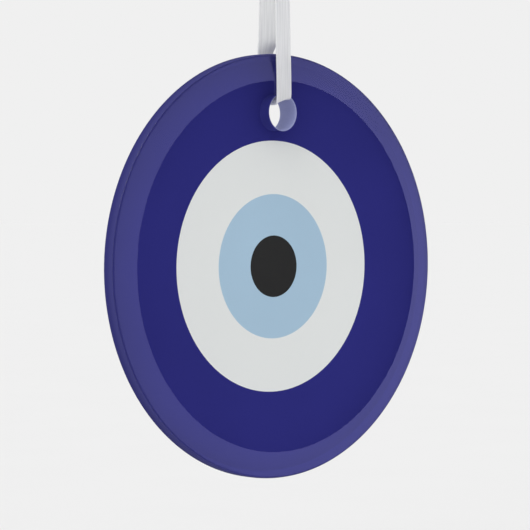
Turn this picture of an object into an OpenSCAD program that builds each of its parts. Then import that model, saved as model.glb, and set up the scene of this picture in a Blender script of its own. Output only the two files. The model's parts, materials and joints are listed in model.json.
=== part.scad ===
// Evil eye ornament: a bevelled glass disc, printed on its back, on a loop of ribbon.
// Origin: the hang point, inside the top of the loop. The front faces -Y, +Z is up.

/* [Glass] */
// Diameter of the glass disc, without the ink on its rim
glass_d = 76; // [70:0.1:90]
// Thickness of the glass
glass_t = 4.4; // [3:0.1:6]
// Width of the bevel round the front face
bevel_w = 4.7; // [1:0.1:6]
// Drop of the bevel from the front face to the rim
bevel_drop = 0.8; // [0.2:0.1:1.2]
// Chamfer between the rim and the back face
back_chamfer = 1.4; // [0.2:0.1:1.6]

/* [Hanging hole] */
// Diameter of the hanging hole
hole_d = 6.3; // [6:0.1:7]
// Height of the hole above the middle of the disc
hole_rise = 27.6; // [27:0.1:29]

/* [Eye] */
// Diameter of the white ring
white_d = 45.2; // [36:0.1:47]
// Diameter of the light blue iris
iris_d = 26; // [18:0.1:32]
// Diameter of the black pupil
pupil_d = 11.1; // [5:0.1:16]

/* [Coatings on the back] */
// Thickness of the printed ink
ink_t = 0.1; // [0.05:0.05:0.2]
// Thickness of the white backing coat
backing_t = 0.1; // [0.05:0.05:0.2]
// Thickness of the clear protective film
film_t = 0.1; // [0.05:0.05:0.2]
// Step in from the edge of one coating to the edge of the next
coat_step = 0.2; // [0.1:0.1:0.5]
// Width of the bare glass between the front bevel and the ink on the rim
bare_rim = 0.1; // [0.1:0.1:0.8]

/* [Ribbon] */
// Width of the ribbon
ribbon_w = 3.4; // [2.5:0.1:3.6]
// Thickness of the ribbon
ribbon_t = 0.25; // [0.2:0.05:0.4]
// Gap between the ribbon and the pendant
ribbon_gap = 0.2; // [0.2:0.05:0.5]
// Length of the loop, from the hang point to the middle of the hole
loop_l = 80; // [60:1:120]
// Diameter of the knot
knot_d = 5.2; // [4:0.1:7]
// Height of the knot
knot_h = 6; // [5:0.5:7]

/* [Hidden] */

// Facets of the round pieces
$fn = 96;
// Overshoot of a cutting tool
cut = 1;

// Depths through the pendant, from its front face to its back, centred on the loop
pendant_t = glass_t + ink_t + backing_t + film_t;
front_y = -pendant_t / 2;
ink_y = front_y + glass_t;
backing_y = ink_y + ink_t;
film_y = backing_y + backing_t;

// Heights of the hole and of the middle of the disc
hole_z = -loop_l;
disc_z = hole_z - hole_rise;

// Radii of the glass, of the flat of its back, and of the coatings on that flat
glass_r = glass_d / 2;
back_flat_r = glass_r - back_chamfer;
backing_r = back_flat_r - coat_step;
film_r = backing_r - coat_step;

// The ribbon's strands: their distance from the middle beside the glass and inside the knot,
// and the heights where they leave the glass, are joined, and end inside the knot
strand_y = pendant_t / 2 + ribbon_gap + ribbon_t / 2;
knot_y = 0.5;
strand_bottom_z = hole_z + 6;
strand_top_z = -8;
upper_bottom_z = strand_top_z + ribbon_gap;
knot_inside_z = 2;
strand_rings = 8;
upper_rings = 4;

// The knot sits on the hang point
knot_bottom_z = 0.5;

// Corners of the ribbon's section, as shares of half its width and half its thickness
SECTION = [
    [-1, 0], [-0.85, -0.8], [0, -1], [0.85, -0.8],
    [1, 0], [0.85, 0.8], [0, 1], [-0.85, 0.8],
];

// A point of the front strand, which leans in evenly from the glass to the knot
function on_strand(z) =
    [-knot_y - (strand_y - knot_y) * (knot_inside_z - z) / (knot_inside_z - strand_bottom_z), z];

// Points at even heights on the front strand
function strand_points(low, high, rings) =
    [for (i = [0:rings]) on_strand(low + (high - low) * i / rings)];

// Routes of the ribbon as [y, z] points. Each lies in the plane of the loop.
strand_route = strand_points(strand_bottom_z, strand_top_z, strand_rings);
upper_route = strand_points(upper_bottom_z, knot_inside_z, upper_rings);
bend_route = [
    [-strand_y, strand_bottom_z],
    [-strand_y, hole_z + 2.8],
    [-strand_y + 0.1, hole_z + 2.4],
    [-strand_y + 0.4, hole_z + 2.2],
    [0, hole_z + 2.2],
    [strand_y - 0.4, hole_z + 2.2],
    [strand_y - 0.1, hole_z + 2.4],
    [strand_y, hole_z + 2.8],
    [strand_y, strand_bottom_z],
];
tail_front_route = [
    [-0.5, 5],
    [-0.7, 7],
    [-1.5, 9.6],
    [-3.2, 12],
    [-5.8, 13.7],
    [-9, 14.2],
    [-12.2, 13.3],
    [-15, 11.2],
    [-17.2, 8.2],
    [-18.8, 4.6],
    [-19.8, 0.8],
    [-20.3, -2.4],
];
tail_back_route = [
    [0.5, 5],
    [0.7, 7],
    [1.4, 9],
    [3, 10.8],
    [5.4, 11.6],
    [7.9, 11],
    [9.9, 9.1],
    [11.3, 6.3],
    [12.3, 3],
    [13, -0.6],
    [13.5, -4.4],
    [13.7, -8.6],
];

// Unit vector from a to b
function toward(a, b) = (b - a) / norm(b - a);

// Direction of a route at its point i
function heading(route, i) =
    toward(route[max(i - 1, 0)], route[min(i + 1, len(route) - 1)]);

// One ring of the ribbon's section, square to the route at its point i
function ring(route, i) =
    let (h = heading(route, i))
    [
        for (s = SECTION)
            let (out = s[1] * ribbon_t / 2)
            [s[0] * ribbon_w / 2, route[i][0] - out * h[1], route[i][1] + out * h[0]]
    ];

// A length of ribbon along a route, with its width along X
module ribbon(route) {
    n = len(SECTION);
    last = len(route) - 1;
    points = [for (i = [0:last]) each ring(route, i)];
    sides = [
        for (i = [0:last - 1], k = [0:n - 1])
            let (next = (k + 1) % n)
            [i * n + k, i * n + next, (i + 1) * n + next, (i + 1) * n + k]
    ];
    ends = [
        [for (k = [n - 1:-1:0]) k],
        [for (k = [0:n - 1]) last * n + k],
    ];
    polyhedron(points = points, faces = concat(sides, ends));
}

// Puts a child drawn along +Z on the disc's axis, starting at depth y
module on_disc(y) {
    translate([0, y, disc_z])
        rotate([-90, 0, 0])
            children();
}

// The drill for the hanging hole
module hole_drill() {
    translate([0, front_y - cut, hole_z])
        rotate([-90, 0, 0])
            cylinder(d = hole_d, h = pendant_t + 2 * cut);
}

// A round coating of radius r, thickness t and depth y, with the hanging hole through it
module coating(r, t, y) {
    difference() {
        on_disc(y)
            cylinder(r = r, h = t);
        hole_drill();
    }
}

// A ring of ink between two diameters
module ink_ring(outer_d, inner_d) {
    on_disc(ink_y)
        difference() {
            cylinder(d = outer_d, h = ink_t);
            translate([0, 0, -cut])
                cylinder(d = inner_d, h = ink_t + 2 * cut);
        }
}

// Clear glass disc with a wide front bevel, a chamfered back edge and the drilled hole
module glass_disc() {
    profile = [
        [0, 0],
        [glass_r - bevel_w, 0],
        [glass_r, bevel_drop],
        [glass_r, glass_t - back_chamfer],
        [back_flat_r, glass_t],
        [0, glass_t],
    ];
    color([0.80, 0.88, 0.95, 0.35])
        difference() {
            on_disc(front_y)
                rotate_extrude()
                    polygon(profile);
            hole_drill();
        }
}

// Deep blue ink from the white ring outwards, over the back chamfer and the rim
module blue_field() {
    // Growth of the ink's corners that keeps it equally thick over the chamfer
    corner = ink_t * tan(22.5);
    profile = [
        [white_d / 2, glass_t],
        [back_flat_r, glass_t],
        [glass_r, glass_t - back_chamfer],
        [glass_r, bevel_drop + bare_rim],
        [glass_r + ink_t, bevel_drop + bare_rim],
        [glass_r + ink_t, glass_t - back_chamfer + corner],
        [back_flat_r + corner, glass_t + ink_t],
        [white_d / 2, glass_t + ink_t],
    ];
    color([0.16, 0.16, 0.44])
        difference() {
            on_disc(front_y)
                rotate_extrude()
                    polygon(profile);
            hole_drill();
        }
}

// White of the eye
module white_ring() {
    color([0.86, 0.87, 0.86])
        ink_ring(white_d, iris_d);
}

// Light blue iris
module iris_ring() {
    color([0.62, 0.73, 0.80])
        ink_ring(iris_d, pupil_d);
}

// Black pupil
module pupil_dot() {
    color([0.15, 0.15, 0.15])
        on_disc(ink_y)
            cylinder(d = pupil_d, h = ink_t);
}

// Opaque white coat over the back of the ink
module white_backing() {
    color([0.93, 0.93, 0.92])
        coating(backing_r, backing_t, backing_y);
}

// Clear film that protects the back
module back_film() {
    color([0.85, 0.87, 0.90])
        coating(film_r, film_t, film_y);
}

// Ribbon down the front of the glass
module ribbon_front_strand() {
    color([0.84, 0.84, 0.85])
        ribbon(strand_route);
}

// Ribbon through the hole
module ribbon_bend() {
    color([0.82, 0.82, 0.83])
        ribbon(bend_route);
}

// Ribbon up the back of the glass
module ribbon_back_strand() {
    color([0.84, 0.84, 0.85])
        mirror([0, 1, 0])
            ribbon(strand_route);
}

// Front side of the loop's top, running into the knot
module ribbon_upper_front() {
    color([0.84, 0.84, 0.85])
        ribbon(upper_route);
}

// Back side of the loop's top, running into the knot
module ribbon_upper_back() {
    color([0.84, 0.84, 0.85])
        mirror([0, 1, 0])
            ribbon(upper_route);
}

// Overhand knot that closes the loop
module ribbon_knot() {
    r = knot_d / 2;
    profile = [
        [0, 0],
        [r * 0.55, 0],
        [r * 0.9, knot_h * 0.15],
        [r, knot_h * 0.4],
        [r, knot_h * 0.6],
        [r * 0.85, knot_h * 0.85],
        [r * 0.5, knot_h],
        [0, knot_h],
    ];
    color([0.80, 0.80, 0.82])
        translate([0, 0, knot_bottom_z])
            rotate_extrude()
                polygon(profile);
}

// Cut end of the ribbon that falls to the front
module ribbon_tail_front() {
    color([0.84, 0.84, 0.85])
        ribbon(tail_front_route);
}

// Cut end of the ribbon that falls to the back
module ribbon_tail_back() {
    color([0.84, 0.84, 0.85])
        ribbon(tail_back_route);
}

glass_disc();
blue_field();
white_ring();
iris_ring();
pupil_dot();
white_backing();
back_film();
ribbon_front_strand();
ribbon_bend();
ribbon_back_strand();
ribbon_upper_front();
ribbon_upper_back();
ribbon_knot();
ribbon_tail_front();
ribbon_tail_back();
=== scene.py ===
"""Looks of the evil eye ornament: bevelled glass printed on its back, on a loop of satin ribbon."""

import json
import math

import bpy
from mathutils import Matrix, Vector
from mathutils.geometry import tessellate_polygon

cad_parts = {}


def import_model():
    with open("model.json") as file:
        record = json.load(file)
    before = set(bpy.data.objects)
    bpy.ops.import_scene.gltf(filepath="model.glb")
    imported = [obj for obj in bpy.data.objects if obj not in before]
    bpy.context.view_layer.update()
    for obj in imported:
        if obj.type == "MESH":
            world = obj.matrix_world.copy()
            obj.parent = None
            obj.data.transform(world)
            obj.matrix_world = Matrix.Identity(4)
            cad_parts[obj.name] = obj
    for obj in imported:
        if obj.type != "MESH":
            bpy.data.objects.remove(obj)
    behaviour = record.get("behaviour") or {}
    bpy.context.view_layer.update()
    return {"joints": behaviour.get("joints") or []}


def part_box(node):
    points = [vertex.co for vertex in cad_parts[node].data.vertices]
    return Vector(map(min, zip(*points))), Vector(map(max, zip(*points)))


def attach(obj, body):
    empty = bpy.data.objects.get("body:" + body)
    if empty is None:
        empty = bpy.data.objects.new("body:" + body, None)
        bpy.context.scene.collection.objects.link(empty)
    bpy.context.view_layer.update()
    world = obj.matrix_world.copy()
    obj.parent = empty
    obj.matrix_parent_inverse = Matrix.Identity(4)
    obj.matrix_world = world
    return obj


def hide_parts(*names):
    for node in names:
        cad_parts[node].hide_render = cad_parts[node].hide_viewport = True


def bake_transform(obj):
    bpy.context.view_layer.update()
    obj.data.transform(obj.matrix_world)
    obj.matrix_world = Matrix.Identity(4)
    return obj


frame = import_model()

MM = 0.001

# ---------------------------------------------------------------- places, from the frame

GLASS_LOW, GLASS_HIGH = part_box("glass_disc")
DISC_X = (GLASS_LOW.x + GLASS_HIGH.x) / 2
DISC_Z = (GLASS_LOW.z + GLASS_HIGH.z) / 2
GLASS_R = (GLASS_HIGH.z - GLASS_LOW.z) / 2
FRONT_Y = GLASS_LOW.y
BACK_Y = GLASS_HIGH.y
HOLE_Z = next(j["pos_m"][2] for j in frame["joints"] if j["name"] == "pendant_rock")


def radius_of(node):
    """Outer radius of a round node."""
    low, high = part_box(node)
    return (high.z - low.z) / 2


WHITE_R = radius_of("white_ring")
IRIS_R = radius_of("iris_ring")
PUPIL_R = radius_of("pupil_dot")
COAT_R = radius_of("white_backing")
FILM_R = radius_of("back_film")
COAT_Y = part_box("white_backing")[0].y
FILM_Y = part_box("back_film")[0].y
FILM_BACK_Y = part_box("back_film")[1].y
STRAND_BOTTOM_Z, STRAND_TOP_Z = (corner.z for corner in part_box("ribbon_front_strand"))
KNOT_LOW, KNOT_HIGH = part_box("ribbon_knot")

# Sizes that part.scad also names
BEVEL_W = 4.7 * MM
BEVEL_DROP = 0.8 * MM
BACK_CHAMFER = 1.4 * MM
BARE_RIM = 0.1 * MM
INK_T = 0.1 * MM
HOLE_R = 3.15 * MM
RIBBON_W = 3.4 * MM
KNOT_Y = 0.5 * MM
KNOT_INSIDE_Z = 2 * MM
# Where the ink on the rim starts
LIP_Y = FRONT_Y + BEVEL_DROP + BARE_RIM

# ---------------------------------------------------------------- camera

CAMERA_YAW = math.radians(41.5)
CAMERA_PITCH = math.radians(1.4)
CAMERA_DISTANCE = 422 * MM
CAMERA_LENS_MM = 159.8
CAMERA_SENSOR_MM = 36
CAMERA_NEAR = 10 * MM
CAMERA_FAR = 60.0
# Where the middle of the disc's front is from the middle of the view
DISC_RIGHT_OF_VIEW = 3.2 * MM
DISC_BELOW_VIEW = 0.27 * MM

forward = Vector(
    (
        math.cos(CAMERA_PITCH) * math.sin(CAMERA_YAW),
        math.cos(CAMERA_PITCH) * math.cos(CAMERA_YAW),
        -math.sin(CAMERA_PITCH),
    )
)
right = Vector((math.cos(CAMERA_YAW), -math.sin(CAMERA_YAW), 0))
up = right.cross(forward)
disc_front = Vector((DISC_X, FRONT_Y, DISC_Z))
eye = (
    disc_front
    - right * DISC_RIGHT_OF_VIEW
    + up * DISC_BELOW_VIEW
    - forward * CAMERA_DISTANCE
)
camera_data = bpy.data.cameras.new("camera")
camera_data.lens = CAMERA_LENS_MM
camera_data.sensor_width = CAMERA_SENSOR_MM
camera_data.clip_start = CAMERA_NEAR
camera_data.clip_end = CAMERA_FAR
camera = bpy.data.objects.new("camera", camera_data)
bpy.context.scene.collection.objects.link(camera)
turned = Matrix((right, up, -forward)).transposed().to_4x4()
camera.matrix_world = Matrix.Translation(eye) @ turned
bpy.context.scene.camera = camera

# ---------------------------------------------------------------- material helpers


class Nodes:
    """A short way to write a node tree."""

    def __init__(self, name):
        self.material = bpy.data.materials.new(name)
        self.material.use_nodes = True
        self.tree = self.material.node_tree
        self.tree.nodes.clear()

    def add(self, kind, **properties):
        node = self.tree.nodes.new(kind)
        for key, value in properties.items():
            setattr(node, key, value)
        return node

    def link(self, source, target):
        self.tree.links.new(source, target)

    def principled(self, **values):
        """The Principled shader. Uniform values are set on its own sockets."""
        node = self.add("ShaderNodeBsdfPrincipled")
        for key, value in values.items():
            node.inputs[key.replace("_", " ")].default_value = value
        return node

    def maths(self, operation, *values):
        """A Math node's result. Each value is a socket or a number."""
        node = self.add("ShaderNodeMath", operation=operation)
        for socket, value in zip(node.inputs, values):
            if isinstance(value, bpy.types.NodeSocket):
                self.link(value, socket)
            else:
                socket.default_value = value
        return node.outputs[0]

    def noise(self, vector, scale, detail):
        """Noise from 0 to 1, with about scale features to each unit of the vector."""
        node = self.add("ShaderNodeTexNoise")
        node.inputs["Scale"].default_value = scale
        node.inputs["Detail"].default_value = detail
        self.link(vector, node.inputs["Vector"])
        return node.outputs["Fac"]

    def stretched(self, vector, factors):
        """A vector with each of its parts multiplied."""
        node = self.add("ShaderNodeMapping")
        node.inputs["Scale"].default_value = factors
        self.link(vector, node.inputs["Vector"])
        return node.outputs["Vector"]

    def share(self, source, low, high, smooth=False):
        """How far source has gone from low to high, from 0 to 1."""
        node = self.add("ShaderNodeMapRange")
        node.interpolation_type = "SMOOTHSTEP" if smooth else "LINEAR"
        node.inputs["From Min"].default_value = low
        node.inputs["From Max"].default_value = high
        self.link(source, node.inputs["Value"])
        return node.outputs["Result"]

    def range(self, source, low, high):
        """Source, from 0 to 1, as a number from low to high."""
        node = self.add("ShaderNodeMapRange")
        node.inputs["To Min"].default_value = low
        node.inputs["To Max"].default_value = high
        self.link(source, node.inputs["Value"])
        return node.outputs["Result"]

    def mixed(self, share, *colours):
        """A mix of two colours, each a socket or three numbers."""
        node = self.add("ShaderNodeMix", data_type="RGBA")
        self.link(share, node.inputs["Factor"])
        sockets = [s for s in node.inputs if s.type == "RGBA"]
        for socket, colour in zip(sockets, colours):
            if isinstance(colour, bpy.types.NodeSocket):
                self.link(colour, socket)
            else:
                socket.default_value = (*colour, 1)
        return next(s for s in node.outputs if s.type == "RGBA")

    def bump(self, height, strength, distance, below=None):
        """The normal of a surface with this height on it, over a bump below it if there is one."""
        node = self.add("ShaderNodeBump")
        node.inputs["Strength"].default_value = strength
        node.inputs["Distance"].default_value = distance
        self.link(height, node.inputs["Height"])
        if below is not None:
            self.link(below, node.inputs["Normal"])
        return node.outputs["Normal"]

    def mixed_shaders(self, share, first, second):
        node = self.add("ShaderNodeMixShader")
        self.link(share, node.inputs[0])
        self.link(first, node.inputs[1])
        self.link(second, node.inputs[2])
        return node.outputs[0]

    def let_lamps_through(self, shader):
        """The shader for what looks at it, and clear for shadow rays and soft light."""
        path = self.add("ShaderNodeLightPath")
        either = self.maths("MAXIMUM", path.outputs["Is Shadow Ray"], path.outputs["Is Diffuse Ray"])
        clear = self.add("ShaderNodeBsdfTransparent")
        return self.mixed_shaders(either, shader, clear.outputs[0])

    def finish(self, shader):
        output = self.add("ShaderNodeOutputMaterial")
        self.link(shader, output.inputs["Surface"])
        return self.material


def object_place(nodes):
    """The shaded point's place on its piece, in metres."""
    return nodes.add("ShaderNodeTexCoord").outputs["Object"]


# ---------------------------------------------------------------- materials

# Inks
DEEP_BLUE = (0.0285, 0.0285, 0.202)
# Painted shade on the ink of the rim: pale at its lip, darker behind it and darker than the field's
# blue
RIM_BLUE_PAINTED_SHADE = (0.032, 0.032, 0.16)
LIP_BLUE_PAINTED_PALE = (0.049, 0.049, 0.19)
WHITE_INK = (0.815, 0.83, 0.826)
LIGHT_BLUE_INK = (0.411, 0.573, 0.722)
BLACK_INK = (0.0285, 0.0285, 0.029)
# How much the fine grain counts in an ink's tone, beside its slow drift
PRINT_GRAIN = 0.6
# How far behind its lip the painted shade on the rim's ink reaches its darkest, and how grainy that
# is
RIM_SHADE_FADE = 1.8 * MM
LIP_GRAIN = 0.2 * MM

# Ground wall of the hole, and the same wall from inside the glass. Both colours are painted light:
# the wall's blue-violet stands in for light from the blue ink around it, with grit making it darker
# and lighter, and from inside the glass the wall is painted the ink's dark blue
FROST_DARK_PAINTED_INK_LIGHT = (0.235, 0.255, 0.48)
FROST_LIGHT_PAINTED_INK_LIGHT = (0.32, 0.345, 0.585)
FROST_INSIDE_PAINTED_INK = (0.040, 0.041, 0.24, 1)

# Coat, and how much its streaks and its speckle count in its tone, beside its clouds
COAT_DARK = (0.725, 0.725, 0.71)
COAT_LIGHT = (0.83, 0.83, 0.82)
COAT_STREAKS = 0.5
COAT_SPECKLE = 0.7

# Satin, and where its woven edges start and are whole, from its middle line
SATIN_DARK = (0.655, 0.66, 0.665)
SATIN_LIGHT = (0.765, 0.77, 0.775)
SATIN_EDGE = (0.71, 0.715, 0.72)
WOVEN_EDGE_MM = (1.30, 1.50)
WEFT_PITCH_MM = 0.28
# How high the weft's ribs are everywhere, and how much higher on the woven edges
WEFT_RIBS = 0.06
WEFT_EDGE_RIBS = 0.2


def glass_material():
    """Clear polished glass."""
    n = Nodes("clear_glass")
    shader = n.principled(
        Base_Color=(0.97, 0.985, 0.98, 1), Roughness=0.0, IOR=1.5, Transmission_Weight=1.0
    )
    return n.finish(n.let_lamps_through(shader.outputs[0]))


def ground_glass_material():
    """The ground wall of the drilled hole. Its blue-violet colour is painted light from the ink
    around it, and from inside the glass it is painted the ink's dark blue.
    """
    n = Nodes("ground_glass")
    place = object_place(n)
    grit = n.noise(place, scale=9000, detail=2.0)
    rings = n.noise(n.stretched(place, (400, 6000, 400)), scale=1, detail=2.0)
    shader = n.principled(Roughness=0.6)
    # Painted light: the wall is coloured blue-violet by the ink around it, darker and lighter with
    # the grit
    painted_ink_light = n.mixed(n.share(grit, low=0.35, high=0.65), FROST_DARK_PAINTED_INK_LIGHT, FROST_LIGHT_PAINTED_INK_LIGHT)
    n.link(painted_ink_light, shader.inputs["Base Color"])
    grain = n.bump(grit, strength=0.5, distance=0.02 * MM)
    n.link(n.bump(rings, strength=0.4, distance=0.03 * MM, below=grain), shader.inputs["Normal"])
    # Painted light: seen from inside the glass, the wall is painted the ink's dark blue
    inside = n.principled(Base_Color=FROST_INSIDE_PAINTED_INK, Roughness=0.8, Specular_IOR_Level=0.0)
    side = n.add("ShaderNodeNewGeometry").outputs["Backfacing"]
    return n.finish(n.mixed_shaders(side, shader.outputs[0], inside.outputs[0]))


def ink_material(name, colour, spread=0.06):
    """Printed ink: an even colour with a fine print grain and a slow drift of tone.

    The tone strays by up to the share spread to each side. The ink has no gloss of its own,
    because it is seen through the glass.
    """
    n = Nodes(name)
    place = object_place(n)
    grain = n.noise(place, scale=5000, detail=2.0)
    drift = n.noise(place, scale=40, detail=1.0)
    tone = n.maths("MULTIPLY_ADD", grain, PRINT_GRAIN, drift)
    darker = tuple(c * (1 - spread) for c in colour)
    lighter = tuple(min(c * (1 + spread), 1) for c in colour)
    shader = n.principled(Roughness=0.45, Specular_IOR_Level=0.0)
    drifted = n.mixed(n.share(tone, low=0.55, high=1.05), darker, lighter)
    n.link(drifted, shader.inputs["Base Color"])
    n.link(n.bump(grain, strength=0.1, distance=0.01 * MM), shader.inputs["Normal"])
    return n.finish(shader.outputs[0])


def rim_ink_painted_shade_material():
    """The blue ink that is seen from outside, on the rim. Painted shade: it is pale at its lip and
    darker behind it, as the rounded rim turns away from the light.
    """
    n = Nodes("blue_ink_on_rim")
    place = object_place(n)
    split = n.add("ShaderNodeSeparateXYZ")
    n.link(place, split.inputs[0])
    grain = n.noise(place, scale=5000, detail=2.0)
    depth = n.maths("MULTIPLY_ADD", grain, LIP_GRAIN, split.outputs["Y"])
    # Painted shade: the rim's ink darkens from its lip towards the back
    painted_shade = n.share(depth, low=LIP_Y, high=LIP_Y + RIM_SHADE_FADE, smooth=True)
    shader = n.principled(Roughness=0.45, Specular_IOR_Level=0.03)
    n.link(n.mixed(painted_shade, LIP_BLUE_PAINTED_PALE, RIM_BLUE_PAINTED_SHADE), shader.inputs["Base Color"])
    n.link(n.bump(grain, strength=0.1, distance=0.01 * MM), shader.inputs["Normal"])
    return n.finish(shader.outputs[0])


def coat_material():
    """Opaque white coat on the back, rolled on: roller streaks, fine speckle and orange peel."""
    n = Nodes("white_coat")
    place = object_place(n)
    peel = n.noise(place, scale=1100, detail=2.0)
    speckle = n.noise(place, scale=4200, detail=1.0)
    streaks = n.noise(n.stretched(place, (1300, 60, 45)), scale=1, detail=3.0)
    cloud = n.noise(place, scale=70, detail=3.0)
    speckled = n.maths("MULTIPLY_ADD", speckle, COAT_SPECKLE, cloud)
    tone = n.maths("MULTIPLY_ADD", streaks, COAT_STREAKS, speckled)
    shader = n.principled(Roughness=0.5)
    white = n.mixed(n.share(tone, low=0.8, high=1.4), COAT_DARK, COAT_LIGHT)
    n.link(white, shader.inputs["Base Color"])
    n.link(n.bump(peel, strength=0.6, distance=0.06 * MM), shader.inputs["Normal"])
    return n.finish(shader.outputs[0])


def film_material():
    """Clear protective film with fine scuffs."""
    n = Nodes("clear_film")
    place = object_place(n)
    scuffs = n.noise(n.stretched(place, (2500, 300, 120)), scale=1, detail=3.0)
    smears = n.noise(place, scale=90, detail=2.0)
    shader = n.principled(Base_Color=(0.98, 0.98, 0.98, 1), IOR=1.46, Transmission_Weight=1.0)
    n.link(n.range(smears, low=0.12, high=0.3), shader.inputs["Roughness"])
    n.link(n.bump(scuffs, strength=0.15, distance=0.02 * MM), shader.inputs["Normal"])
    return n.finish(n.let_lamps_through(shader.outputs[0]))


def satin_material():
    """Satin ribbon: fine warp threads along it, faint weft across it, woven edges.

    The UV map runs across the ribbon in u and along it in v, in millimetres.
    """
    n = Nodes("satin_ribbon")
    uv = n.add("ShaderNodeUVMap", uv_map="weave").outputs["UV"]
    split = n.add("ShaderNodeSeparateXYZ")
    n.link(uv, split.inputs[0])
    across, along = split.outputs["X"], split.outputs["Y"]
    warp = n.noise(n.stretched(uv, (14, 0.25, 1)), scale=1, detail=2.0)
    slub = n.noise(n.stretched(uv, (5, 0.09, 1)), scale=1, detail=2.0)
    weft = n.maths("SINE", n.maths("MULTIPLY", along, 2 * math.pi / WEFT_PITCH_MM))
    # 0 in the middle of the ribbon, 1 on the woven edges
    edge = n.share(n.maths("ABSOLUTE", across), *WOVEN_EDGE_MM, smooth=True)
    rib_height = n.maths("MULTIPLY_ADD", edge, WEFT_EDGE_RIBS, WEFT_RIBS)
    ribs = n.maths("MULTIPLY", weft, rib_height)
    height = n.maths("ADD", warp, ribs)
    tone = n.mixed(n.share(slub, low=0.35, high=0.65), SATIN_DARK, SATIN_LIGHT)
    shader = n.principled(
        Roughness=0.42,
        Anisotropic=0.5,
        Sheen_Weight=0.1,
        Sheen_Roughness=0.4,
        Subsurface_Weight=0.7,
        Subsurface_Radius=(1, 1, 1),
        Subsurface_Scale=0.5 * MM,
    )
    n.link(n.mixed(edge, tone, SATIN_EDGE), shader.inputs["Base Color"])
    n.link(n.bump(height, strength=0.2, distance=0.03 * MM), shader.inputs["Normal"])
    return n.finish(shader.outputs[0])


GLASS = glass_material()
GROUND = ground_glass_material()
BLUE = ink_material("blue_ink", DEEP_BLUE)
BLUE_RIM_PAINTED_SHADE = rim_ink_painted_shade_material()
WHITE = ink_material("white_ink", WHITE_INK, spread=0.015)
IRIS = ink_material("light_blue_ink", LIGHT_BLUE_INK, spread=0.02)
BLACK = ink_material("black_ink", BLACK_INK)
COAT = coat_material()
FILM = film_material()
SATIN = satin_material()

# ---------------------------------------------------------------- mesh helpers


def make_object(name, points, faces, materials, face_materials=None, flat_faces=()):
    """A smooth-shaded mesh object. The faces in flat_faces are shaded flat."""
    mesh = bpy.data.meshes.new(name)
    mesh.from_pydata([tuple(p) for p in points], [], faces)
    for material in materials:
        mesh.materials.append(material)
    smooth = [True] * len(faces)
    for i in flat_faces:
        smooth[i] = False
    mesh.polygons.foreach_set("use_smooth", smooth)
    if face_materials:
        mesh.polygons.foreach_set("material_index", face_materials)
    mesh.validate()
    mesh.update()
    obj = bpy.data.objects.new(name, mesh)
    bpy.context.scene.collection.objects.link(obj)
    return obj


def add_weave(obj, uvs):
    """Gives each corner of a mesh its vertex's place on the ribbon."""
    layer = obj.data.uv_layers.new(name="weave")
    for loop in obj.data.loops:
        layer.data[loop.index].uv = uvs[loop.vertex_index]


def tube_faces(first, rings, count, closed):
    """The side faces of rings of count points, numbered from first."""
    faces = []
    for i in range(rings if closed else rings - 1):
        here, there = first + i * count, first + (i + 1) % rings * count
        for k in range(count):
            following = (k + 1) % count
            faces.append((here + k, here + following, there + following, there + k))
    return faces


# Steps in each rounded corner, and the most of each side that the corner and its support
# point may take up
FILLET_STEPS = 6
FILLET_MOST = 0.4
SUPPORT_MOST = 0.05


def filleted(corners, radius, support=0.06 * MM):
    """A polyline with its inner corners rounded, and a support point beside each arc."""
    points = [Vector(corners[0])]
    for before, corner, after in zip(corners, corners[1:], corners[2:]):
        before, corner, after = Vector(before), Vector(corner), Vector(after)
        back, on = (before - corner), (after - corner)
        turn = math.pi - back.angle(on)
        most = min(back.length, on.length) * FILLET_MOST
        reach = min(radius * math.tan(turn / 2), most)
        start = corner + back.normalized() * reach
        end = corner + on.normalized() * reach
        points.append(start + back.normalized() * min(support, back.length * SUPPORT_MOST))
        for i in range(FILLET_STEPS + 1):
            t = i / FILLET_STEPS
            points.append(start * (1 - t) ** 2 + corner * 2 * t * (1 - t) + end * t**2)
        points.append(end + on.normalized() * min(support, on.length * SUPPORT_MOST))
    points.append(Vector(corners[-1]))
    return points


def step(value, low, high):
    """0 below low and 1 above high, smoothly."""
    t = min(max((value - low) / (high - low), 0.0), 1.0)
    return t * t * (3 - 2 * t)


DISC_SEGMENTS = 192
HOLE_SEGMENTS = 72


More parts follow.
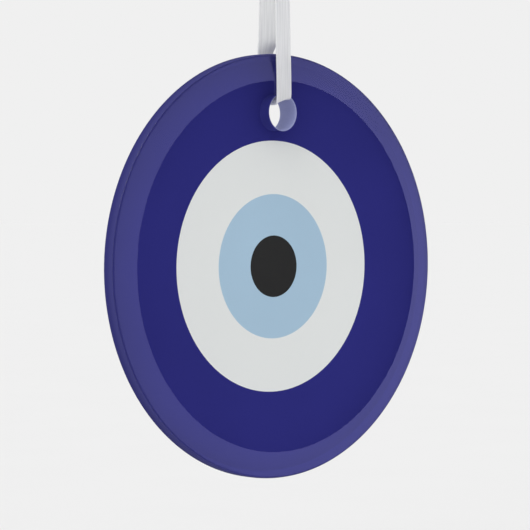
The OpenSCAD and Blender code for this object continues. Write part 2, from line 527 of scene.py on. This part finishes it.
def plate(name, outer, materials, inner=None, hole=None, rim_second=None, hole_second=False):
    """A round plate from profiles of (radius, depth), each from its front edge to its back.

    outer is the rim and inner a middle opening, both round the disc's axis. hole is the
    wall of the hanging hole. The second material covers outer from its point rim_second
    on, and the wall of the hole where hole_second is true.
    """
    points, faces, face_materials, loops = [], [], [], []

    def wall(profile, z, count, inward, second_from):
        first = len(points)
        for radius, depth in profile:
            for k in range(count):
                a = 2 * math.pi * k / count
                points.append((DISC_X + radius * math.cos(a), depth, z + radius * math.sin(a)))
        sides = tube_faces(first, len(profile), count, closed=False)
        faces.extend(sides if inward else [side[::-1] for side in sides])
        for i in range(len(sides)):
            second = second_from is not None and i // count >= second_from
            face_materials.append(int(second))
        last = first + (len(profile) - 1) * count
        loops.append((range(first, first + count), range(last, last + count)))

    wall(outer, DISC_Z, DISC_SEGMENTS, False, rim_second)
    if inner:
        wall(inner, DISC_Z, DISC_SEGMENTS, True, None)
    if hole:
        wall(hole, HOLE_Z, HOLE_SEGMENTS, True, 0 if hole_second else None)
    walls = len(faces)
    for side in (0, 1):
        rings = [loop[side] for loop in loops]
        numbers = [i for ring in rings for i in ring]
        outlines = [[Vector((points[i][0], points[i][2], 0)) for i in ring] for ring in rings]
        for triangle in tessellate_polygon(outlines):
            a, b, c = (numbers[i] for i in triangle)
            # Twice the signed area in the X, Z plane says which way the triangle faces
            area = (points[b][0] - points[a][0]) * (points[c][2] - points[a][2])
            area -= (points[c][0] - points[a][0]) * (points[b][2] - points[a][2])
            towards_front = area > 0
            faces.append((a, b, c) if towards_front == (side == 0) else (a, c, b))
            face_materials.append(0)
    caps = range(walls, len(faces))
    return make_object(name, points, faces, materials, face_materials, caps)


# Spacing of the points along a smooth route, and the fewest and most between two given ones
ROUTE_GAP = 0.6 * MM
ROUTE_FEWEST = 2
ROUTE_MOST = 14


def smooth_route(points):
    """Points along a smooth curve through the given ones (centripetal Catmull-Rom)."""
    pts = [Vector(p) for p in points]
    pts = [pts[0] * 2 - pts[1], *pts, pts[-1] * 2 - pts[-2]]
    out = []
    for p0, p1, p2, p3 in zip(pts, pts[1:], pts[2:], pts[3:]):
        t0 = 0.0
        t1 = t0 + math.sqrt((p1 - p0).length)
        t2 = t1 + math.sqrt((p2 - p1).length)
        t3 = t2 + math.sqrt((p3 - p2).length)
        wanted = math.ceil((p2 - p1).length / ROUTE_GAP)
        count = max(ROUTE_FEWEST, min(ROUTE_MOST, wanted))
        for i in range(count):
            t = t1 + (t2 - t1) * i / count
            a1 = p0 * ((t1 - t) / (t1 - t0)) + p1 * ((t - t0) / (t1 - t0))
            a2 = p1 * ((t2 - t) / (t2 - t1)) + p2 * ((t - t1) / (t2 - t1))
            a3 = p2 * ((t3 - t) / (t3 - t2)) + p3 * ((t - t2) / (t3 - t2))
            b1 = a1 * ((t2 - t) / (t2 - t0)) + a2 * ((t - t0) / (t2 - t0))
            b2 = a2 * ((t3 - t) / (t3 - t1)) + a3 * ((t - t1) / (t3 - t1))
            out.append(b1 * ((t2 - t) / (t2 - t1)) + b2 * ((t - t1) / (t2 - t1)))
    out.append(pts[-2])
    return out


# ---------------------------------------------------------------- ribbon

RIBBON_T = 0.24 * MM
# The woven edges are this many times as thick as the middle
EDGE_SWELL = 1.35
# The ribbon lies against the glass, this far from touching it where it starts to lean in
SNUG = 0.1 * MM
STRAND_Y = FILM_BACK_Y + SNUG + RIBBON_T * EDGE_SWELL / 2
# How much the ribbon crowns under the round top of the hole, and the share of that which
# lifts its middle. The rest lowers its edges.
HOLE_CROWN = 1 * MM
CROWN_SHARE = 0.73
# How far one edge of the fold in the hole is tipped above the other
FOLD_TIP = math.radians(18)
# Heights above the hole's middle: the fold, the middle and the end of the bend at each side of
# it, where the ribbon has left the hole, and where its edges are level again
FOLD_HEIGHT = 2.2 * MM
BEND_MIDDLE = 2.4 * MM
BEND_END = 2.8 * MM
LEFT_HOLE = 3.2 * MM
LEVEL_AGAIN = 4.5 * MM
# How far inside the strands a bend's middle and its inner end are, and where the fold starts
BEND_IN = 0.1 * MM
BEND_REACH = 0.4 * MM
FOLD_START = 0.5 * MM
# The back strand turns a little on its way up, and leans to the front
BACK_TURN = math.radians(41)
BACK_LEAN = 0.7 * MM
# It starts to turn this far below the top of the glass, and has turned this far above it. It
# turns back over this length below the top of the strands.
TURN_BELOW = 0.2 * MM
TURN_ABOVE = 3 * MM
TURN_BACK = 30 * MM

# One face of the ribbon: places across it, and its thickness there, as shares
HALF_SECTION = [
    (-1.0, 0.55), (-0.97, 1.0), (-0.92, 1.0), (-0.87, 0.8), (-0.7, 0.74), (-0.45, 0.74),
    (-0.2, 0.74), (0.0, 0.74), (0.2, 0.74), (0.45, 0.74), (0.7, 0.74), (0.87, 0.8),
    (0.92, 1.0), (0.97, 1.0), (1.0, 0.55),
]

# Share of its width that the ribbon loses where it runs into the knot, from how far outside
# the knot, and to how far inside it
KNOT_SQUEEZE = 0.26
SQUEEZE_OUTSIDE = 2.5 * MM
SQUEEZE_INSIDE = 0.8 * MM
# Where a slanted fold keeps its height, as a share of the ribbon's half width
LEVEL_LINE = 0.5
# Length over which a slanted cut is spread
SLANT_REACH = 5 * MM
# Length of one radian of the wave along a tail's edges
WAVE_REACH = 7 * MM


def near_knot(p):
    """1 inside the knot, and 0 clear of it, for a (y, z) point of the ribbon."""
    # The tails pass the knot's height again, well to its side
    if abs(p.x) > (KNOT_HIGH.x - KNOT_LOW.x) / 2:
        return 0.0
    entering = step(p.y, KNOT_LOW.z - SQUEEZE_OUTSIDE, KNOT_LOW.z + SQUEEZE_INSIDE)
    leaving = step(p.y, KNOT_HIGH.z - SQUEEZE_INSIDE, KNOT_HIGH.z + SQUEEZE_OUTSIDE)
    return entering * (1 - leaving)


def ribbon_piece(
    name, route, cup=None, turn=None, lean=None, rise=None, cut_slant=0.0, edge_wave=0.0
):
    """A flat ribbon along a route of (y, z) points in the plane of the loop.

    cup(point) is how deep the ribbon curls across its width there, turn(point, along) how far
    it is turned about its own line, lean(point) how far it is moved into the loop, and
    rise(point) the slope from its left edge up to its right edge. cut_slant is how far one
    corner of the last end is ahead of its middle, as scissors leave it, and edge_wave how
    high its edges wave. The ribbon narrows where it nears the knot.
    """
    line = smooth_route([Vector((y, z)) for y, z in route])
    section = [*HALF_SECTION, *((s, -t) for s, t in reversed(HALF_SECTION))]
    count = len(section)
    last = len(line) - 1
    whole = sum((b - a).length for a, b in zip(line, line[1:]))
    points, uvs = [], []
    along = 0.0
    for i, p in enumerate(line):
        ahead, behind = line[min(i + 1, last)], line[max(i - 1, 0)]
        heading = (ahead - behind).normalized()
        inward = Vector((0, -heading.y, heading.x))
        if i:
            along += (p - line[i - 1]).length
        angle = turn(p, along) if turn else 0.0
        side = Vector((1, 0, 0)) * math.cos(angle) + inward * math.sin(angle)
        face = inward * math.cos(angle) - Vector((1, 0, 0)) * math.sin(angle)
        middle = Vector((0, p.x, p.y)) + inward * (lean(p) if lean else 0.0)
        depth = cup(p) if cup else 0.0
        half_w = RIBBON_W / 2 * (1 - KNOT_SQUEEZE * near_knot(p))
        slant = cut_slant * max(0.0, 1 - (whole - along) / SLANT_REACH)
        for s, t in section:
            wave = edge_wave * math.sin(along / WAVE_REACH) * s * abs(s)
            lift = depth * (CROWN_SHARE - s * s) + t * RIBBON_T / 2 * EDGE_SWELL + wave
            slide = slant * s
            q = middle + side * (s * half_w) + face * lift
            if rise:
                q.z += (s - LEVEL_LINE) * half_w * rise(p)
            points.append(q + Vector((0, heading.x, heading.y)) * slide)
            uvs.append((s * RIBBON_W / 2 / MM, (along + slide) / MM))
    faces = tube_faces(0, len(line), count, closed=False)
    for first, turned_over in ((0, True), (last * count, False)):
        for k in range(len(HALF_SECTION) - 1):
            quad = (first + k, first + k + 1, first + count - 2 - k, first + count - 1 - k)
            faces.append(quad[::-1] if turned_over else quad)
    ends = range(last * count, len(faces))
    obj = make_object(name, points, faces, [SATIN], None, ends)
    add_weave(obj, uvs)
    return obj, [(0.0, p.x, p.y) for p in line]


def on_strand(z):
    """A point of the front strand, which leans in evenly from the glass to the knot."""
    rise = (KNOT_INSIDE_Z - z) / (KNOT_INSIDE_Z - STRAND_BOTTOM_Z)
    return (-KNOT_Y - (STRAND_Y - KNOT_Y) * rise, z)


def mirrored(route):
    """The same route on the back of the loop, from the hole up."""
    return [(-y, z) for y, z in reversed(route)]


STRAND_RINGS = 12
STRAND_ROUTE = [
    on_strand(KNOT_INSIDE_Z + (STRAND_BOTTOM_Z - KNOT_INSIDE_Z) * i / STRAND_RINGS)
    for i in range(STRAND_RINGS)
]
BEND_ROUTE = [
    (-STRAND_Y, STRAND_BOTTOM_Z),
    (-STRAND_Y, HOLE_Z + BEND_END),
    (-STRAND_Y + BEND_IN, HOLE_Z + BEND_MIDDLE),
    (-STRAND_Y + BEND_REACH, HOLE_Z + FOLD_HEIGHT),
    (0.0, HOLE_Z + FOLD_HEIGHT),
    (STRAND_Y - BEND_REACH, HOLE_Z + FOLD_HEIGHT),
    (STRAND_Y - BEND_IN, HOLE_Z + BEND_MIDDLE),
    (STRAND_Y, HOLE_Z + BEND_END),
    (STRAND_Y, STRAND_BOTTOM_Z),
]
# The tails' routes in millimetres
TAIL_FRONT_ROUTE = [
    (-0.5, 5),
    (-0.7, 7),
    (-1.5, 9.6),
    (-3.2, 12),
    (-5.8, 13.7),
    (-9, 14.2),
    (-12.2, 13.3),
    (-15, 11.2),
    (-17.2, 8.2),
    (-18.8, 4.6),
    (-19.8, 0.8),
    (-20.3, -2.4),
]
TAIL_BACK_ROUTE = [
    (0.5, 5),
    (0.7, 7),
    (1.4, 9),
    (3, 10.8),
    (5.4, 11.6),
    (7.9, 11),
    (9.9, 9.1),
    (11.3, 6.3),
    (12.3, 3),
    (13, -0.6),
    (13.5, -4.4),
    (13.7, -8.6),
]


def in_hole(p):
    """1 where the ribbon is inside the hole, and 0 where it is out on the glass's faces."""
    low = 1 - step(p.y, HOLE_Z + FOLD_HEIGHT, HOLE_Z + LEFT_HOLE)
    return low * (1 - step(abs(p.x), STRAND_Y - FOLD_START, STRAND_Y))


def hole_cup(p):
    """How deep the loop curls across its width, under the round top of the hole."""
    return HOLE_CROWN * in_hole(p)


def fold_slant(p):
    """The slope across the ribbon on the glass's faces, which meets the tipped fold."""
    low = 1 - step(p.y, HOLE_Z + FOLD_HEIGHT, HOLE_Z + LEVEL_AGAIN)
    return math.tan(FOLD_TIP) * low * (1 - in_hole(p))


def back_share(p):
    """1 where the back strand has turned, between the glass and the knot, and else 0."""
    above_glass = step(p.y, GLASS_HIGH.z - TURN_BELOW, GLASS_HIGH.z + TURN_ABOVE)
    below_knot = 1 - step(p.y, STRAND_TOP_Z - TURN_BACK, STRAND_TOP_Z)
    return above_glass * below_knot if p.x > 0 else 0.0


def loop_turn(p, along):
    """How far the loop is turned about its own line. The place alone decides it."""
    return FOLD_TIP * in_hole(p) + BACK_TURN * back_share(p)


def loop_lean(p):
    """How far the back strand leans into the loop."""
    return BACK_LEAN * back_share(p)


# The gathered core of the knot: rings up it and points round it, and where it starts and how
# long it is, as shares of the knot's height
CORE_RINGS = 24
CORE_AROUND = 48
CORE_START = 0.13
CORE_LENGTH = 0.74
# Half its width and depth at its ends, and how much more they are in its middle
CORE_X_MM = 1.05
CORE_X_MORE_MM = 0.45
CORE_Y_MM = 0.35
CORE_Y_MORE_MM = 1.15
# Its pleats: how many, how deep as a share, and how many radians they turn from end to end
PLEATS = 9
PLEAT_DEPTH = 0.05
PLEAT_TURN = 2
# Half the width of the weave on it
CORE_WEAVE_MM = 1.2


def gathered_core(points, faces, uvs):
    """The doubled ribbon through the middle of the knot, pleated and full in its middle."""
    first = len(points)
    height = KNOT_HIGH.z - KNOT_LOW.z
    for i in range(CORE_RINGS):
        t = i / (CORE_RINGS - 1)
        fullness = math.sin(math.pi * t)
        half_x = (CORE_X_MM + CORE_X_MORE_MM * fullness) * MM
        half_y = (CORE_Y_MM + CORE_Y_MORE_MM * fullness) * MM
        z = KNOT_LOW.z + height * (CORE_START + CORE_LENGTH * t)
        for k in range(CORE_AROUND):
            b = 2 * math.pi * k / CORE_AROUND
            pleat = 1 + PLEAT_DEPTH * fullness * math.cos(PLEATS * b + PLEAT_TURN * t)
            points.append((half_x * math.cos(b) * pleat, half_y * math.sin(b) * pleat, z))
            uvs.append((CORE_WEAVE_MM * math.cos(b), t * height / MM))
    faces.extend(tube_faces(first, CORE_RINGS, CORE_AROUND, closed=False))
    faces.append(tuple(range(first, first + CORE_AROUND))[::-1])
    last = first + (CORE_RINGS - 1) * CORE_AROUND
    faces.append(tuple(range(last, last + CORE_AROUND)))


# The knot's wraps: radius, tilt, which way round the knot the tilt faces, half width, and
# where their unevenness starts
KNOT_WRAPS = [
    (1.75 * MM, math.radians(-42), math.radians(60), 1.45 * MM, 1.0),
    (1.95 * MM, math.radians(14), math.radians(150), 1.25 * MM, 2.4),
    (2.20 * MM, math.radians(36), math.radians(-35), 1.50 * MM, 4.0),
]
# Points along a wrap and round its section, and half its thickness
WRAP_TURN_STEPS = 72
WRAP_SECTION_STEPS = 20
WRAP_HALF_T = 0.2 * MM
# How much a wrap is out of round, and its width as a share, with how much that changes round it
WRAP_OVAL = 0.07
WRAP_WIDTH = 0.86
WRAP_WIDTH_CHANGE = 0.14
# Powers that square off its section, across it and through it
WRAP_SQUARE_ACROSS = 0.7
WRAP_SQUARE_THROUGH = 0.8
# How far its edges drop below its middle
WRAP_CROWN = 0.30 * MM
# Its creases: how high, how close together, and how far they wander
CREASE_HEIGHT = 0.05 * MM
CREASES = 7
CREASE_WANDER = 3
# Half the width of the weave on it
WRAP_WEAVE_MM = 1.25


def wrap(points, faces, uvs, radius, tilt, azimuth, half_w, phase):
    """One flat turn of ribbon round the knot, tilted, crowned, and narrower where it dives."""
    first = len(points)
    centre = (KNOT_LOW + KNOT_HIGH) / 2
    place = Matrix.Rotation(azimuth, 3, "Z") @ Matrix.Rotation(tilt, 3, "X")
    axis = place @ Vector((0, 0, 1))
    for i in range(WRAP_TURN_STEPS):
        a = 2 * math.pi * i / WRAP_TURN_STEPS
        outward = place @ Vector((math.cos(a), math.sin(a), 0))
        reach = radius * (1 + WRAP_OVAL * math.cos(2 * a + phase))
        width = half_w * (WRAP_WIDTH + WRAP_WIDTH_CHANGE * math.cos(a + phase))
        wander = CREASE_WANDER * math.sin(a + phase)
        for k in range(WRAP_SECTION_STEPS):
            b = 2 * math.pi * k / WRAP_SECTION_STEPS
            s = math.copysign(abs(math.cos(b)) ** WRAP_SQUARE_ACROSS, math.cos(b))
            t = math.copysign(abs(math.sin(b)) ** WRAP_SQUARE_THROUGH, math.sin(b))
            crease = CREASE_HEIGHT * math.cos(CREASES * s + wander)
            crown = WRAP_CROWN * s * s
            lift = reach + WRAP_HALF_T * t + crease - crown
            points.append(centre + outward * lift + axis * (width * s))
            uvs.append((WRAP_WEAVE_MM * s, a * radius / MM))
    sides = tube_faces(first, WRAP_TURN_STEPS, WRAP_SECTION_STEPS, closed=True)
    faces.extend(side[::-1] for side in sides)


def knot_piece():
    """An overhand knot: flat wraps of the doubled ribbon, crossing round its gathered core."""
    points, faces, uvs = [], [], []
    gathered_core(points, faces, uvs)
    for one_wrap in KNOT_WRAPS:
        wrap(points, faces, uvs, *one_wrap)
    obj = make_object("knot", points, faces, [SATIN])
    add_weave(obj, uvs)
    return obj


knot = knot_piece()
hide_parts("ribbon_knot")
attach(knot, "hanger")

loop_route = STRAND_ROUTE + BEND_ROUTE + mirrored(STRAND_ROUTE)
ribbon_loop, loop_path = ribbon_piece(
    "ribbon_loop", loop_route, cup=hole_cup, turn=loop_turn, lean=loop_lean, rise=fold_slant
)
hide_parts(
    "ribbon_front_strand",
    "ribbon_bend",
    "ribbon_back_strand",
    "ribbon_upper_front",
    "ribbon_upper_back",
)
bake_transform(ribbon_loop)


# How deep a tail curls across its width, the share of its length where it starts to turn, and
# the slant of its cut end
TAIL_CUP = 0.18 * MM
TAIL_TURN_START = 0.1
TAIL_CUT_SLANT = 1.3 * MM


def tail_piece(node, route_mm, length, twist, wave):
    """One cut end of the ribbon, which falls from the knot and slowly turns."""
    route = [(y * MM, z * MM) for y, z in route_mm]
    tail, path = ribbon_piece(
        node + "_satin",
        route,
        cup=lambda p: TAIL_CUP,
        turn=lambda p, along: twist * step(along, TAIL_TURN_START * length, length),
        cut_slant=TAIL_CUT_SLANT,
        edge_wave=wave,
    )
    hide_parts(node)
    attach(tail, "hanger")


tail_piece(
    "ribbon_tail_front", TAIL_FRONT_ROUTE, length=0.036, twist=math.radians(38), wave=0.15 * MM
)
tail_piece(
    "ribbon_tail_back", TAIL_BACK_ROUTE, length=0.033, twist=math.radians(-30), wave=-0.12 * MM
)

# ---------------------------------------------------------------- pendant

# The glass reaches a little into the ink, so that light passes from one to the other
CONTACT = 0.05 * MM
# Small rounded chamfer of the hole's edges, and where its middle is, as a share of it
ARRIS = 0.2 * MM
ARRIS_MIDDLE = 0.3
# Rounding of the rim's corners
RIM_ROUND = 0.6 * MM
# Flat ring beside the bevel and the back chamfer, where a profile starts or ends
FLAT_LAND = 1 * MM
# How far along its sides the chamfer's corner moves when the sides move out by 1
CHAMFER_CORNER = math.tan(math.radians(22.5))
# How far from its lip the ink on the rim reaches its whole thickness
LIP_TAPER = 0.4 * MM
# The thin layers on the back: flat ring at their edges, rounding, and its support points
LAYER_LAND = 0.5 * MM
LAYER_ROUND = 0.04 * MM
LAYER_SUPPORT = 0.01 * MM
COAT_HOLE_R = HOLE_R + 1.5 * ARRIS
FILM_HOLE_R = HOLE_R + 2.5 * ARRIS


def pendant_piece(obj, node):
    """Hides the node that a piece of the pendant stands in for, and makes the piece ride with the
    pendant.
    """
    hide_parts(node)
    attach(obj, "pendant")


def rim_profile(outside):
    """The glass's profile from its front flat to its back flat, moved out by outside."""
    return filleted(
        [
            (GLASS_R - BEVEL_W - FLAT_LAND, FRONT_Y),
            (GLASS_R - BEVEL_W, FRONT_Y),
            (GLASS_R + outside, FRONT_Y + BEVEL_DROP),
            (GLASS_R + outside, BACK_Y - BACK_CHAMFER + outside * CHAMFER_CORNER),
            (GLASS_R - BACK_CHAMFER + outside * CHAMFER_CORNER, BACK_Y + outside),
            (GLASS_R - BACK_CHAMFER - FLAT_LAND, BACK_Y + outside),
        ],
        RIM_ROUND,
    )


def glass():
    """The glass disc, with polished faces and a ground hole."""
    hole = [
        (HOLE_R + ARRIS, FRONT_Y),
        (HOLE_R + ARRIS * ARRIS_MIDDLE, FRONT_Y + ARRIS * ARRIS_MIDDLE),
        (HOLE_R, FRONT_Y + ARRIS),
        (HOLE_R, BACK_Y - ARRIS),
        (HOLE_R + ARRIS * ARRIS_MIDDLE, BACK_Y - ARRIS * ARRIS_MIDDLE),
        (HOLE_R + ARRIS, BACK_Y + CONTACT),
    ]
    materials = [GLASS, GROUND]
    disc = plate("glass", rim_profile(CONTACT), materials, hole=hole, hole_second=True)
    pendant_piece(disc, "glass_disc")


def rim_skin(outside):
    """The profile of one side of the ink on the rim, from its lip to the back flat."""
    skin = []
    before = None
    for point in rim_profile(outside):
        if point.y > LIP_Y:
            if not skin:
                share = (LIP_Y - before.y) / (point.y - before.y)
                skin.append(before.lerp(point, share))
            skin.append(point)
        before = point
    return skin


def blue_field():
    """The blue ink: its field behind the glass, and its skin over the chamfer and the rim."""
    under, over = rim_skin(0.0), rim_skin(INK_T)
    # Towards its lip the outer side comes down to the glass
    for point in over:
        bare = 1 - step(point.y, LIP_Y, LIP_Y + LIP_TAPER)
        point.x -= (INK_T - CONTACT) * bare
    field = plate(
        "blue_field_print",
        [*reversed(under), *over],
        [BLUE, BLUE_RIM_PAINTED_SHADE],
        inner=[(WHITE_R, BACK_Y), (WHITE_R, BACK_Y + INK_T)],
        hole=[(HOLE_R + ARRIS, BACK_Y), (HOLE_R + ARRIS, BACK_Y + INK_T)],
        rim_second=len(under) - 1,
    )
    pendant_piece(field, "blue_field")


def ink(node, material, outer_r, inner_r=None):
    """One colour of the print, in contact with the glass, with the coat behind it."""
    front, back = BACK_Y, BACK_Y + INK_T
    inner = [(inner_r, front), (inner_r, back)] if inner_r else None
    colour = plate(node + "_print", [(outer_r, front), (outer_r, back)], [material], inner=inner)
    pendant_piece(colour, node)


def layer(name, node, slot, material, outer_r, hole_r, front, back):
    """A thin round layer on the back, with softened edges."""
    land_r = outer_r - LAYER_LAND
    corners = [(land_r, front), (outer_r, front), (outer_r, back), (land_r, back)]
    outer = filleted(corners, LAYER_ROUND, support=LAYER_SUPPORT)
    piece = plate(name, outer, [material], hole=[(hole_r, front), (hole_r, back)])
    pendant_piece(piece, node)


glass()
blue_field()
ink("white_ring", WHITE, WHITE_R, IRIS_R)
ink("iris_ring", IRIS, IRIS_R, PUPIL_R)
ink("pupil_dot", BLACK, PUPIL_R)
# The coat reaches a little into the film, so that no gap shows between them
COAT_BACK_Y = FILM_Y + CONTACT / 2
layer("coat", "white_backing", "white_coat", COAT, COAT_R, COAT_HOLE_R, COAT_Y, COAT_BACK_Y)
layer("film", "back_film", "clear_film", FILM, FILM_R, FILM_HOLE_R, FILM_Y, FILM_BACK_Y)

# ---------------------------------------------------------------- floor, light and background

# Strength of the plain white light all round, which the camera sees behind the ornament
BACKGROUND = 0.871
# The floor: how far below the glass, how wide, and its tones
FLOOR_BELOW = 30 * MM
FLOOR_R = 12.0
FLOOR_SEGMENTS = 64
FLOOR_DARK = (0.816,) * 3
FLOOR_LIGHT = (0.822,) * 3


def floor_piece():
    """A wide round floor below the ornament, as pale as the background."""
    n = Nodes("floor")
    cloud = n.noise(object_place(n), scale=30, detail=4.0)
    tone = n.share(cloud, low=0.3, high=0.7)
    shader = n.principled(Roughness=0.9, Specular_IOR_Level=0.0)
    n.link(n.mixed(tone, FLOOR_DARK, FLOOR_LIGHT), shader.inputs["Base Color"])
    points = []
    for k in range(FLOOR_SEGMENTS):
        a = 2 * math.pi * k / FLOOR_SEGMENTS
        points.append((FLOOR_R * math.cos(a), FLOOR_R * math.sin(a), GLASS_LOW.z - FLOOR_BELOW))
    material = n.finish(shader.outputs[0])
    floor = make_object("floor", points, [tuple(range(FLOOR_SEGMENTS))], [material])
    # The glass mirrors the studio and not the floor
    floor.visible_glossy = False


def direction(azimuth, elevation):
    """A direction by its angles in degrees. Azimuth 0 is the front, and grows to the right."""
    a, e = math.radians(azimuth), math.radians(elevation)
    return Vector((math.sin(a) * math.cos(e), -math.cos(a) * math.cos(e), math.sin(e)))


def sun(name, azimuth, elevation, strength, spread):
    """A soft, even light from a direction."""
    data = bpy.data.lights.new(name, "SUN")
    data.energy = strength
    data.angle = math.radians(spread)
    obj = bpy.data.objects.new(name, data)
    bpy.context.scene.collection.objects.link(obj)
    source = direction(azimuth, elevation)
    obj.rotation_euler = source.to_track_quat("Z", "Y").to_euler()


# The studio as polished faces mirror it: a dark card in front of the flat of the glass, and a
# pale blue ring light round it, which the bevel mirrors. Degrees from the card, and colour.
CARD_AZIMUTH = 41.5
CARD_ELEVATION = -1.5
MIRRORED_STRENGTH = 1.8
DARK_CARD = (0.01, 0.01, 0.01)
RING_LIGHT = (0.475, 0.475, 0.94)
DIM_ROOM = (0.16, 0.16, 0.20)
MIRRORED_ROOM = [
    (0, DARK_CARD),
    (9, DARK_CARD),
    (14, RING_LIGHT),
    (26, RING_LIGHT),
    (48, DIM_ROOM),
    (180, DIM_ROOM),
]


def world():
    """Even white light, and the studio that polished faces mirror."""
    studio = bpy.data.worlds.new("studio")
    bpy.context.scene.world = studio
    studio.use_nodes = True
    tree = studio.node_tree
    tree.nodes.clear()
    add, link = tree.nodes.new, tree.links.new
    dot = add("ShaderNodeVectorMath")
    dot.operation = "DOT_PRODUCT"
    dot.inputs[1].default_value = direction(CARD_AZIMUTH, CARD_ELEVATION)
    link(add("ShaderNodeTexCoord").outputs["Generated"], dot.inputs[0])
    angle = add("ShaderNodeMath")
    angle.operation = "ARCCOSINE"
    link(dot.outputs["Value"], angle.inputs[0])
    share = add("ShaderNodeMath")
    share.operation = "DIVIDE"
    share.inputs[1].default_value = math.pi
    link(angle.outputs[0], share.inputs[0])
    ramp = add("ShaderNodeValToRGB")
    link(share.outputs[0], ramp.inputs[0])
    stops = ramp.color_ramp.elements
    for i, (degrees, colour) in enumerate(MIRRORED_ROOM):
        stop = stops[i] if i < len(stops) else stops.new(1.0)
        stop.position = degrees / 180
        stop.color = (*colour, 1)
    room = add("ShaderNodeBackground")
    room.inputs["Strength"].default_value = MIRRORED_STRENGTH
    link(ramp.outputs["Color"], room.inputs["Color"])
    plain = add("ShaderNodeBackground")
    plain.inputs["Color"].default_value = (1, 1, 1, 1)
    plain.inputs["Strength"].default_value = BACKGROUND
    path = add("ShaderNodeLightPath")
    # Rays that glass bends are glossy too, and see the plain white
    mirror = add("ShaderNodeMath")
    mirror.operation = "GREATER_THAN"
    link(path.outputs["Is Glossy Ray"], mirror.inputs[0])
    link(path.outputs["Is Transmission Ray"], mirror.inputs[1])
    mix = add("ShaderNodeMixShader")
    link(mirror.outputs[0], mix.inputs[0])
    link(plain.outputs[0], mix.inputs[1])
    link(room.outputs[0], mix.inputs[2])
    link(mix.outputs[0], add("ShaderNodeOutputWorld").inputs["Surface"])


floor_piece()
sun("key", azimuth=-75, elevation=45, strength=0.85, spread=50)
world()

bpy.context.scene.view_settings.view_transform = "Standard"
bpy.context.scene.view_settings.look = "None"
